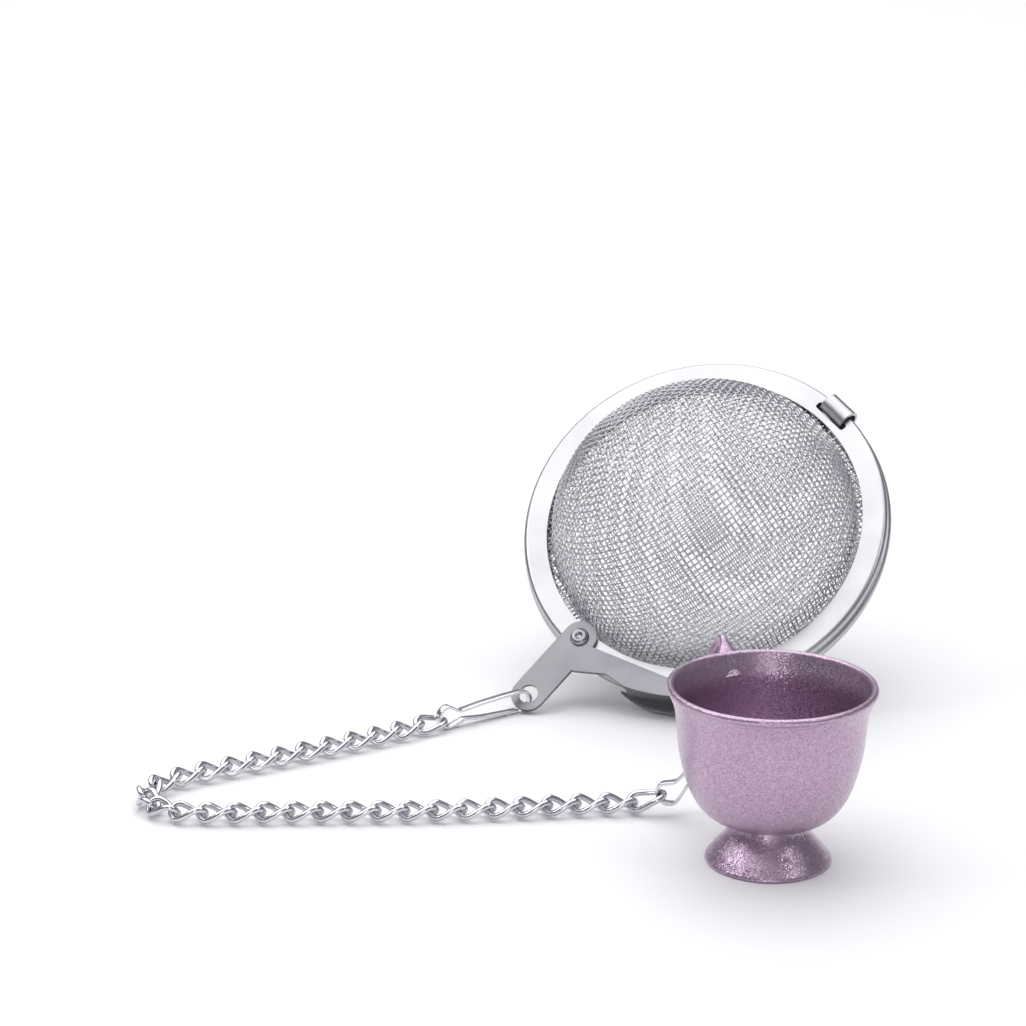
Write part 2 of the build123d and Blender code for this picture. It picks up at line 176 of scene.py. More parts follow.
def sweep(
    centre: np.ndarray,
    normal: np.ndarray,
    outline: np.ndarray,
    half_size: np.ndarray,
    strand: np.ndarray | None = None,
    closed: bool = False,
) -> Surface:
    """Section carried along one or more strands.

    Each section stands across the line's tangent: its first direction is the given normal, made
    square to the tangent, and its second is the tangent crossed with that.

    Args:
        centre: Points of the strands, one after another.
        normal: Wanted first direction of the section at each point.
        outline: Unit outline of the section.
        half_size: Half extents along both directions, one pair for all or one a point.
        strand: Number of the strand each point belongs to; one strand if it isn't given.
        closed: Whether the single strand joins up with its own start.

    Returns:
        The swept surface, with its faces outward.
    """
    count, sides = len(centre), len(outline)
    here = np.arange(count)
    strand = np.zeros(count, dtype=int) if strand is None else strand
    after, before = (here + 1) % count, here - 1
    if not closed:
        after = np.where((here + 1 < count) & (strand[after] == strand), after, here)
        before = np.where((here > 0) & (strand[before] == strand), before, here)
    tangent = unit(centre[after] - centre[before])
    first = unit(normal - tangent * np.sum(normal * tangent, axis=1, keepdims=True))
    second = np.cross(tangent, first)
    size = np.broadcast_to(half_size, (count, 2))
    ring = (
        centre[:, None, :]
        + first[:, None, :] * (outline[None, :, 0] * size[:, 0:1])[:, :, None]
        + second[:, None, :] * (outline[None, :, 1] * size[:, 1:2])[:, :, None]
    )
    joined = here[after != here]
    corner = np.arange(sides)
    turned = (corner + 1) % sides
    start, end = joined[:, None] * sides, after[joined][:, None] * sides
    quads = np.stack([start + corner, start + turned, end + turned, end + corner], axis=-1)
    return Surface(ring.reshape(-1, 3), quads.reshape(-1, 4))


def lathe(
    profile: np.ndarray,
    centre: np.ndarray,
    segments: int,
    groove: Callable[[np.ndarray, np.ndarray], np.ndarray] | None = None,
) -> Surface:
    """Profile turned about the upright axis through a centre.

    Args:
        profile: Radius and height pairs, running up the outside so that the faces are outward.
        centre: Point of the axis at height zero.
        segments: Number of steps round the axis.
        groove: Optional function of (angle, radius) that gives how far the surface is cut in.

    Returns:
        The turned surface.
    """
    angle = 2 * np.pi * np.arange(segments) / segments
    radius = np.repeat(profile[:, 0:1], segments, axis=1)
    if groove is not None:
        radius = radius - groove(angle[None, :], radius)
    height = np.repeat(profile[:, 1:2], segments, axis=1)
    points = np.stack([radius * np.cos(angle), radius * np.sin(angle), height], axis=-1) + centre
    row = np.arange(len(profile) - 1)[:, None] * segments
    corner = np.arange(segments)
    turned = (corner + 1) % segments
    quads = np.stack(
        [row + corner, row + turned, row + segments + turned, row + segments + corner], axis=-1
    )
    return Surface(points.reshape(-1, 3), quads.reshape(-1, 4))


# ---------------------------------------------------------------- places read from the frame
def joint(name: str) -> dict:
    """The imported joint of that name."""
    return next(entry for entry in frame["joints"] if entry["name"] == name)


def joint_place(name: str) -> np.ndarray:
    """A joint's place in millimetres."""
    return np.array(joint(name)["pos_m"]) / MM


def node_points(node: str) -> np.ndarray:
    """Vertices of a CAD node, in millimetres."""
    mesh = frame["nodes"][node].data
    flat = np.empty(len(mesh.vertices) * 3, dtype=np.float32)
    mesh.vertices.foreach_get("co", flat)
    return flat.reshape(-1, 3).astype(float) / MM


@dataclass(frozen=True)
class Axes:
    """A place with three square directions, in millimetres."""

    centre: np.ndarray
    x: np.ndarray
    y: np.ndarray
    z: np.ndarray

    def to_frame(self, local: np.ndarray) -> np.ndarray:
        """Points given in these axes, as points of the frame."""
        return self.centre + local @ np.stack([self.x, self.y, self.z])

    def turn(self) -> tuple[float, float, float]:
        """Euler angles that turn the frame's axes to these."""
        columns = np.stack([self.x, self.y, self.z], axis=1)
        return tuple(Matrix(columns.tolist()).to_euler())


UPRIGHT = np.array([0.0, 0.0, 1.0])
BAR_RADIUS = 27.7  # the hinge's axis from the ball's axis, in millimetres
BAR_HEIGHT = 0.9  # the hinge's axis above the parting plane, in millimetres


def ring_axes() -> Axes:
    """Axes of the ball: x and y in the parting plane with x level, z out of the front face."""
    normal = unit(np.array(joint("ball_latch")["axis"]))
    outward = np.cross(normal, np.array(joint("ball_hinge")["axis"]))
    centre = joint_place("ball_hinge") - outward * BAR_RADIUS - normal * BAR_HEIGHT
    level = unit(np.cross(UPRIGHT, normal))
    return Axes(centre, level, np.cross(normal, level), normal)


def long_axes(node: str, towards: np.ndarray) -> Axes:
    """Axes of a long flat node: x along it, y across it with an upward part, z out of its plane.

    Args:
        node: CAD node to measure.
        towards: Direction its x has to agree with.

    Returns:
        Axes at the middle of the node's extents.
    """
    points = node_points(node)
    middle = points.mean(axis=0)
    spread = np.linalg.svd(points - middle, full_matrices=False)[2]
    x = spread[0] * np.sign(spread[0] @ towards)
    y = unit(UPRIGHT - x * x[2])
    local = (points - middle) @ np.stack([x, y, np.cross(x, y)]).T
    centre = middle + (local.min(axis=0) + local.max(axis=0)) / 2 @ np.stack([x, y, np.cross(x, y)])
    return Axes(centre, x, y, np.cross(x, y))


def length_along(node: str, axes: Axes) -> float:
    """A node's extent along the x of some axes."""
    share = (node_points(node) - axes.centre) @ axes.x
    return float(share.max() - share.min())


# ---------------------------------------------------------------- finishes
@dataclass
class Graph:
    """Shader nodes of one material or world."""

    tree: bpy.types.NodeTree

    def add(self, kind: str, inputs: dict | None = None, **settings: object) -> bpy.types.Node:
        """Adds one node.

        Args:
            kind: Type name of the node.
            inputs: Values or sockets for its inputs, by name or number.
            **settings: Properties to set on the node.

        Returns:
            The new node.
        """
        node = self.tree.nodes.new(kind)
        for name, value in settings.items():
            setattr(node, name, value)
        for name, value in (inputs or {}).items():
            if isinstance(value, bpy.types.NodeSocket):
                self.tree.links.new(value, node.inputs[name])
            else:
                node.inputs[name].default_value = value
        return node

    def lengths(
        self, size: tuple[float, float, float], turn: tuple[float, float, float] = (0.0, 0.0, 0.0)
    ) -> bpy.types.NodeSocket:
        """Object coordinates counted in steps of the given millimetres along turned axes."""
        place = self.add("ShaderNodeTexCoord").outputs["Object"]
        steps = tuple(edge * MM for edge in size)
        inputs = {"Vector": place, "Rotation": turn, "Scale": steps}
        return self.add("ShaderNodeMapping", inputs, vector_type="TEXTURE").outputs["Vector"]

    def spread(self, value: bpy.types.NodeSocket, low: float, high: float) -> bpy.types.NodeSocket:
        """A value from 0 to 1 spread between two limits."""
        inputs = {"Value": value, "To Min": low, "To Max": high}
        return self.add("ShaderNodeMapRange", inputs).outputs["Result"]

    def ramp(self, share: bpy.types.NodeSocket, *stops: tuple[float, str]) -> bpy.types.NodeSocket:
        """Colour along a row of stops, each a position and a hex colour."""
        node = self.add("ShaderNodeValToRGB", {"Fac": share})
        row = node.color_ramp.elements
        for position, _ in stops[2:]:
            row.new(position)
        for element, (position, hex_code) in zip(row, sorted(stops)):
            element.position = position
            element.color = colour(hex_code)
        return node.outputs["Color"]


@dataclass(frozen=True)
class MetalFinish:
    """Bare metal with a grain.

    Attributes:
        name: Material name.
        hue: Colour of the clean metal.
        dull: Colour in the handled and less polished places.
        roughness: Least and most roughness over the grain.
        grain: Grain size in millimetres along three axes.
        depth: Height of the grain in millimetres.
        edge: Radius of the softened edges in millimetres, 0 for none.
        turn: Euler angles of the grain's axes.
        anisotropy: How far the highlights stretch.
        cloud: Size in millimetres of the patches where clean metal turns dull.
    """

    name: str
    hue: str
    dull: str
    roughness: tuple[float, float]
    grain: tuple[float, float, float]
    depth: float
    edge: float = 0.0
    turn: tuple[float, float, float] = (0.0, 0.0, 0.0)
    anisotropy: float = 0.0
    cloud: float = 7.0

    def make(self) -> bpy.types.Material:
        """Builds the material's nodes."""
        material, graph, output = new_material(self.name)
        grain = graph.add(
            "ShaderNodeTexNoise",
            {"Vector": graph.lengths(self.grain, self.turn), "Scale": 1.0, "Detail": 3.0},
        ).outputs["Fac"]
        cloud = graph.add(
            "ShaderNodeTexNoise",
            {"Vector": graph.lengths((self.cloud,) * 3), "Scale": 1.0, "Detail": 2.0},
        ).outputs["Fac"]
        tone = graph.ramp(cloud, (0.35, self.hue), (0.75, self.dull))
        bump_inputs = {"Height": grain, "Distance": self.depth * MM, "Strength": 1.0}
        if self.edge:
            soft = graph.add("ShaderNodeBevel", {"Radius": self.edge * MM})
            bump_inputs["Normal"] = soft.outputs["Normal"]
        bump = graph.add("ShaderNodeBump", bump_inputs)
        shader = graph.add(
            "ShaderNodeBsdfPrincipled",
            {
                "Base Color": tone,
                "Metallic": 1.0,
                "Roughness": graph.spread(grain, *self.roughness),
                "Anisotropic": self.anisotropy,
                "Normal": bump.outputs["Normal"],
            },
        )
        graph.tree.links.new(shader.outputs["BSDF"], output.inputs["Surface"])
        return material


@dataclass(frozen=True)
class LacquerFinish:
    """Metallic lacquer with fine flakes under a clear coat.

    Attributes:
        name: Material name.
        hue: Colour of the flakes that face the light.
        deep: Colour between them.
        flake: Flake size in millimetres.
        tilt: How far the flakes lean, as a share of the normal.
        roughness: Roughness of the flake layer.
        peel: Size in millimetres of the waves in the clear coat.
        peel_depth: Height of those waves in millimetres.
    """

    name: str
    hue: str
    deep: str
    flake: float
    tilt: float
    roughness: float
    peel: float = 0.8
    peel_depth: float = 0.004

    def make(self) -> bpy.types.Material:
        """Builds the material's nodes."""
        material, graph, output = new_material(self.name)
        size = (self.flake,) * 3
        cells = graph.add("ShaderNodeTexVoronoi", {"Vector": graph.lengths(size), "Scale": 1.0})
        lean = graph.add(
            "ShaderNodeVectorMath",
            {0: cells.outputs["Color"], 1: (0.5, 0.5, 0.5)},
            operation="SUBTRACT",
        )
        scaled = graph.add(
            "ShaderNodeVectorMath", {0: lean.outputs["Vector"], "Scale": self.tilt}, operation="SCALE"
        )
        normal = graph.add("ShaderNodeNewGeometry").outputs["Normal"]
        leaning = graph.add(
            "ShaderNodeVectorMath", {0: normal, 1: scaled.outputs["Vector"]}, operation="ADD"
        )
        facing = graph.add("ShaderNodeVectorMath", {0: leaning.outputs["Vector"]}, operation="NORMALIZE")
        split = graph.add("ShaderNodeSeparateColor", {"Color": cells.outputs["Color"]})
        tone = graph.ramp(split.outputs["Red"], (0.0, self.deep), (1.0, self.hue))
        orange_peel = graph.add(
            "ShaderNodeTexNoise",
            {"Vector": graph.lengths((self.peel,) * 3), "Scale": 1.0, "Detail": 2.0},
        )
        coat = graph.add(
            "ShaderNodeBump",
            {"Height": orange_peel.outputs["Fac"], "Distance": self.peel_depth * MM, "Strength": 1.0},
        )
        shader = graph.add(
            "ShaderNodeBsdfPrincipled",
            {
                "Base Color": tone,
                "Metallic": 0.85,
                "Roughness": self.roughness,
                "Normal": facing.outputs["Vector"],
                "Coat Weight": 0.35,
                "Coat Roughness": 0.16,
                "Coat Normal": coat.outputs["Normal"],
            },
        )
        graph.tree.links.new(shader.outputs["BSDF"], output.inputs["Surface"])
        return material


def new_material(name: str) -> tuple[bpy.types.Material, Graph, bpy.types.Node]:
    """An empty node material, its graph and its output node."""
    material = bpy.data.materials.new(name)
    material.use_nodes = True
    material.node_tree.nodes.clear()
    graph = Graph(material.node_tree)
    return material, graph, graph.add("ShaderNodeOutputMaterial")


@dataclass
class Finishes:
    """All materials of the infuser, made once."""

    turn: tuple[float, float, float]
    made: dict[Slot, bpy.types.Material] = field(default_factory=dict)

    def __post_init__(self) -> None:
        """Makes every material."""
        kinds = {
            # Stamped stainless sheet, lightly satined: soft wide reflections, rounded folds.
            Slot.RIM: MetalFinish(
                "satin_stamped_steel", "#BFBFC2", "#B3B3B7", (0.26, 0.36), (0.25, 2.2, 0.25), 0.0012,
                edge=0.12, turn=self.turn, anisotropy=0.15,
            ),
            # Drawn stainless wire, woven: bright crests, since each wire is its own surface.
            Slot.CLOTH: MetalFinish(
                "woven_stainless_wire", "#D6D6DA", "#BDBDC3", (0.18, 0.3), (0.6, 0.6, 0.6), 0.001
            ),
            # Brushed stainless sheet: grey, with highlights drawn out across the brushing. The real
            # scratches are finer than this grain, which is as coarse as it needs to be to show.
            Slot.LEVER: MetalFinish(
                "brushed_lever_steel", "#8E8E93", "#828287", (0.3, 0.44), (0.12, 5.0, 0.12), 0.0035,
                edge=0.1, turn=self.turn, anisotropy=0.4,
            ),
            # Pressed steel rivet: duller than the rims, with a sharp ring of light round its dimple.
            Slot.RIVET: MetalFinish(
                "turned_rivet_steel", "#9A9AA0", "#848489", (0.22, 0.32), (0.4, 0.4, 0.4), 0.0015, edge=0.1
            ),
            # Rolled spring steel strip: a bright flat face with faint lines along it.
            Slot.STRIP: MetalFinish(
                "bright_spring_strip", "#DCDCE0", "#CFCFD4", (0.14, 0.24), (3.0, 0.3, 0.3), 0.001
            ),
            # Bright drawn wire: almost a mirror, with dark lines where it turns from the light.
            Slot.CHAIN: MetalFinish(
                "polished_chain_wire", "#D2D2D7", "#C2C2C8", (0.08, 0.18), (0.9, 0.9, 0.9), 0.001
            ),
            # Sprayed lacquer with aluminium flake: dusky lilac with a fine sparkle under a gloss. Real
            # flakes are under 0.05 mm, and these are as coarse as they need to be to show.
            Slot.LILAC: LacquerFinish("lilac_flake_lacquer", "#CBB2C9", "#9A8298", 0.13, 0.3, 0.3),
        }
        self.made = {slot: finish.make() for slot, finish in kinds.items()}

    def dress(self, obj: bpy.types.Object, slot: Slot) -> None:
        """Gives an object the finish of a slot."""
        if obj.data.materials:
            for index in range(len(obj.data.materials)):
                obj.material_slots[index].material = self.made[slot]
        else:
            obj.data.materials.append(self.made[slot])

    def settle(self, obj: bpy.types.Object, slot: Slot, body: str, *nodes: str) -> None:
        """Finishes a new piece, sets it on its body and lets it stand for CAD nodes."""
        self.dress(obj, slot)
        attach(obj, body)
        if nodes:
            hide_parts(*nodes)
        log.info("%s rides on %s with %d faces", obj.name, body, len(obj.data.polygons))


# ---------------------------------------------------------------- ball
@dataclass
class WovenDome:
    """One half of the ball as crossing wires, pressed to the dome.

    Attributes:
        ring: Axes of the ball.
        side: Which half.
        node: CAD node of the cloth it stands for.
        body: Body it rides on.
        pitch: Spacing of the wires.
        wire: Thickness of a wire.
        sides: Sides of a wire's section.
        heading: Turn of the weave in the ball's plane, in degrees.
        drawn_in: Share of the arc length, against the plan radius, in how the cloth was pressed.
        cloth: Thickness of the CAD shell.
        dome_radius: Outside of the dome at the rim.
        knuckle_share: Radius of the knuckle, as a share of the rise.
        flange_high: Top of the flat edge above the parting plane.
        flange_turn: Radius of the turn into the flat edge.
        edge_radius: Where the wires end, inside the rim's fold.
        unevenness: Scatter of the wires, as a share of the pitch.
        arc_steps: Points on each of the two arcs.
        turn_steps: Points on the turn.
        line_steps: Points that the profile is read at.
    """

    ring: Axes
    side: Side
    node: str
    body: str

    pitch: float = 0.89
    wire: float = 0.23
    sides: int = 6
    heading: float = 42.5
    drawn_in: float = 0.45
    cloth: float = 0.5
    dome_radius: float = 23.75
    knuckle_share: float = 0.8
    flange_high: float = 1.15
    flange_turn: float = 0.5
    edge_radius: float = 25.0
    unevenness: float = 0.035
    arc_steps: int = 80
    turn_steps: int = 8
    line_steps: int = 400

    def profile(self) -> np.ndarray:
        """Middle line of the cloth from the crown to its flat edge, as radius and height.

        A crown arc about a point on the axis runs into a knuckle arc, which stands upright at the
        rim. A small arc turns the cloth out into the flat edge that the rim grips.
        """
        points = node_points(self.node) - self.ring.centre
        height = float((points @ self.ring.z * self.side.value).max())
        rise = height - self.flange_high
        knuckle = rise * self.knuckle_share
        inset = self.dome_radius - knuckle
        crown = (inset**2 + rise**2 - knuckle**2) / (2 * (rise - knuckle))
        meeting = math.atan2(crown - rise, inset)
        half = self.cloth / 2
        over = np.linspace(math.pi / 2, meeting, self.arc_steps)
        down = np.linspace(meeting, 0.0, self.arc_steps)
        top = np.stack([np.cos(over), np.sin(over)], axis=1) * (crown - half) + (0.0, height - crown)
        wall = np.stack([np.cos(down), np.sin(down)], axis=1) * (knuckle - half)
        wall += (inset, self.flange_high)
        flat = self.flange_high - half
        wall = wall[wall[:, 1] > flat + self.flange_turn]
        out = np.linspace(math.pi, 1.5 * math.pi, self.turn_steps)
        foot = np.stack([np.cos(out), np.sin(out)], axis=1) * self.flange_turn
        foot += (self.dome_radius - half + self.flange_turn, flat + self.flange_turn)
        edge = np.array([[self.edge_radius, flat]])
        return np.vstack([top, wall, foot, edge])

    def strands(self, strand: Strand) -> Surface:
        """All wires of one direction.

        Straight parallel wires lie in a flat disc. A point at some distance from the middle goes
        to the place on the dome's profile whose blend of arc length and plan radius is that
        distance, in the same direction from the axis. Each wire then steps out and in by half
        its thickness, by turns, over and under the wires that cross it.
        """
        line = even_steps(self.profile(), self.line_steps)
        arc = np.linspace(0.0, np.linalg.norm(np.diff(line, axis=0), axis=1).sum(), len(line))
        flat_radius = self.drawn_in * arc + (1 - self.drawn_in) * line[:, 0]
        slope = unit(np.gradient(line, axis=0))
        normals = np.stack([-slope[:, 1], slope[:, 0]], axis=1)
        reach = int(flat_radius[-1] / self.pitch) + 1
        wires = np.arange(-reach, reach + 1)
        steps = np.arange(-2 * reach, 2 * reach + 1)
        uneven = np.random.default_rng(reach + strand.value).normal(0.0, self.unevenness, len(wires))
        across = np.repeat((wires + 0.5 + uneven) * self.pitch, len(steps))
        along = np.tile(steps * self.pitch / 2, len(wires))
        number = np.repeat(wires, len(steps))
        crossing = np.tile(steps, len(wires))
        distance = np.hypot(across, along)
        kept = distance < flat_radius[-1]
        kept &= np.bincount(number[kept] + reach, minlength=len(wires))[number + reach] > 2
        across, along, number, crossing, distance = (
            values[kept] for values in (across, along, number, crossing, distance)
        )
        x, y = (across, along) if strand is Strand.WARP else (along, across)
        angle = np.arctan2(y, x) + math.radians(self.heading)
        radius, height, out, up = (
            np.interp(distance, flat_radius, column)
            for column in (line[:, 0], line[:, 1], normals[:, 0], normals[:, 1])
        )
        crest = np.where(crossing % 2 == 1, 1 - 2 * ((number + (crossing - 1) // 2) % 2), 0)
        lift = crest * strand.value * self.wire / 2
        sign = self.side.value
        plan = np.stack([np.cos(angle), np.sin(angle)], axis=1)
        out, up = -out, -up
        local = np.column_stack([plan * (radius + out * lift)[:, None], sign * (height + up * lift)])
        local_normal = np.column_stack([plan * out[:, None], sign * up])
        turned = np.stack([self.ring.x, self.ring.y, self.ring.z])
        half = self.wire / 2
        outline = round_outline(self.sides)
        return sweep(self.ring.to_frame(local), local_normal @ turned, outline, (half, half), number)

    def build(self, finishes: Finishes) -> None:
        """Makes the warp and the weft of this half."""
        for strand in Strand:
            name = f"{self.node}_{strand.name.lower()}"
            finishes.settle(self.strands(strand).piece(name), Slot.CLOTH, self.body, self.node)


# ---------------------------------------------------------------- chain and clips
@dataclass
class ChainLink:
    """One curb link: an oval of wire given a quarter turn of twist along its length.

    Attributes:
        number: Place in the chain, from 1.
        count: Number of links in the chain.
        wire: Thickness of the wire.
        width: Outside of the oval across its length.
        twist: Lean of each end, in degrees, to opposite sides.
        samples: Points round the link.
        sides: Sides of the wire's section.
    """

    number: int
    count: int

    wire: float = 0.87
    width: float = 3.5
    twist: float = 47.0
    samples: int = 56
    sides: int = 12

    def build(self, finishes: Finishes) -> None:
        """Makes the link on its own body.

        The middle line is two straight sides and two half rounds. The direction across the link
        turns about its length from one end to the other. Both end links hold a flat strip with
        their right end, which stays level.
        """
        node = f"chain_link_{self.number:02d}"
        axes = long_axes(node, np.array([1.0, 0.0, 0.0]))
        start = self.twist
        end = 0.0 if self.number in (1, self.count) else -self.twist
        bend = (self.width - self.wire) / 2
        half = length_along(node, axes) / 2 - self.wire / 2
        side = half - bend
        angle = np.linspace(-math.pi / 2, math.pi / 2, self.samples // 4)
        right = np.stack([side + bend * np.cos(angle), bend * np.sin(angle)], axis=1)
        loop = even_steps(np.vstack([right, -right, right[:1]]), self.samples + 1)[:-1]
        share = ease((loop[:, 0] + half) / (2 * half))
        lean = np.radians(start + (end - start) * share)
        across = np.stack([np.zeros_like(lean), np.cos(lean), np.sin(lean)], axis=1)
        plane = np.stack([np.zeros_like(lean), -np.sin(lean), np.cos(lean)], axis=1)
        level = Axes(axes.centre, axes.x, -axes.z, axes.y)
        local = np.column_stack([loop[:, 0], np.zeros(len(loop)), np.zeros(len(loop))])
        local = local + across * loop[:, 1:2]
        turned = np.stack([level.x, level.y, level.z])
        size = (self.wire / 2, self.wire / 2)
        surface = sweep(
            level.to_frame(local), plane @ turned, round_outline(self.sides), size, closed=True
        )
        finishes.settle(surface.piece(f"{node}_curb"), Slot.CHAIN, node, node)


@dataclass
class StripClip:
    """Spring strip bent into a long open eye with a pinched waist and lapped ends.

    Attributes:
        node: CAD node and body it stands for.
        near: Joint at the end it hooks through first.
        far: Joint at its chain end.
        width: Width of the strip.
        thickness: Thickness of the strip.
        height: Outside of the eye across its length.
        waist: How far the strands draw in at the waist.
        waist_back: The waist from the middle of the far end's bend.
        laps: Where the two ends lie, from the near end.
        sides: Sides of the strip's section.
        corner: Power of its outline, small for sharp corners.
        samples: Points along the strip.
    """

    node: str
    near: str
    far: str

    width: float = 1.3
    thickness: float = 0.46
    height: float = 3.7
    waist: float = 0.95
    waist_back: float = 3.9
    laps: tuple[float, float] = (2.4, 4.6)
    sides: int = 20
    corner: float = 0.4
    samples: int = 150

    def build(self, finishes: Finishes) -> None:
        """Makes the strip as one sweep that closes on itself in a lap."""
        towards = joint_place(self.far) - joint_place(self.near)
        axes = long_axes(self.node, towards)
        length = length_along(self.node, axes)
        half = self.height / 2 - self.thickness / 2
        end = length / 2 - self.thickness / 2
        pinch = end - self.waist_back
        near_lap, far_lap = (place - length / 2 for place in self.laps)
        corners = np.array(
            [
                (far_lap, -half * 0.92 - self.thickness * 0.5),
                (near_lap, -half - self.thickness * 0.2),
                (-end + 0.6, -half * 0.72),
                (-end, 0.0),
                (-end + 0.6, half * 0.8),
                (-end + 2.2, half),
                (0.0, half * 0.72),
                (pinch - 0.4, half - self.waist),
                (pinch + 0.7, half - self.waist * 0.9),
                (end - 1.5, half),
                (end - 0.35, half * 0.62),
                (end, 0.0),
                (end - 0.35, -half * 0.62),
                (end - 1.5, -half),
                (pinch + 0.3, -half + self.waist * 0.55),
                (pinch - 0.6, -half + self.waist * 0.8),
                (0.0, -half * 0.72),
                (far_lap, -half * 0.92 + self.thickness * 0.55),
                (near_lap + 0.2, -half + self.thickness * 0.75),
            ]
        )
        line = smooth_path(corners, self.samples)
        local = np.column_stack([line, np.zeros(len(line))])
        local = np.vstack([local[:1], local, local[-1:]])
        local[0, 0] += 0.01
        local[-1, 0] -= 0.01
        tangent = np.gradient(local, axis=0)
        inward = np.stack([-tangent[:, 1], tangent[:, 0], np.zeros(len(tangent))], axis=1)
        size = np.tile((self.thickness / 2, self.width / 2), (len(local), 1))
        size[[0, -1]] *= 0.02
        turned = np.stack([axes.x, axes.y, axes.z])
        surface = sweep(axes.to_frame(local), inward @ turned, round_outline(self.sides, self.corner), size)
        finishes.settle(surface.piece(f"{self.node}_strip"), Slot.STRIP, self.node, self.node)


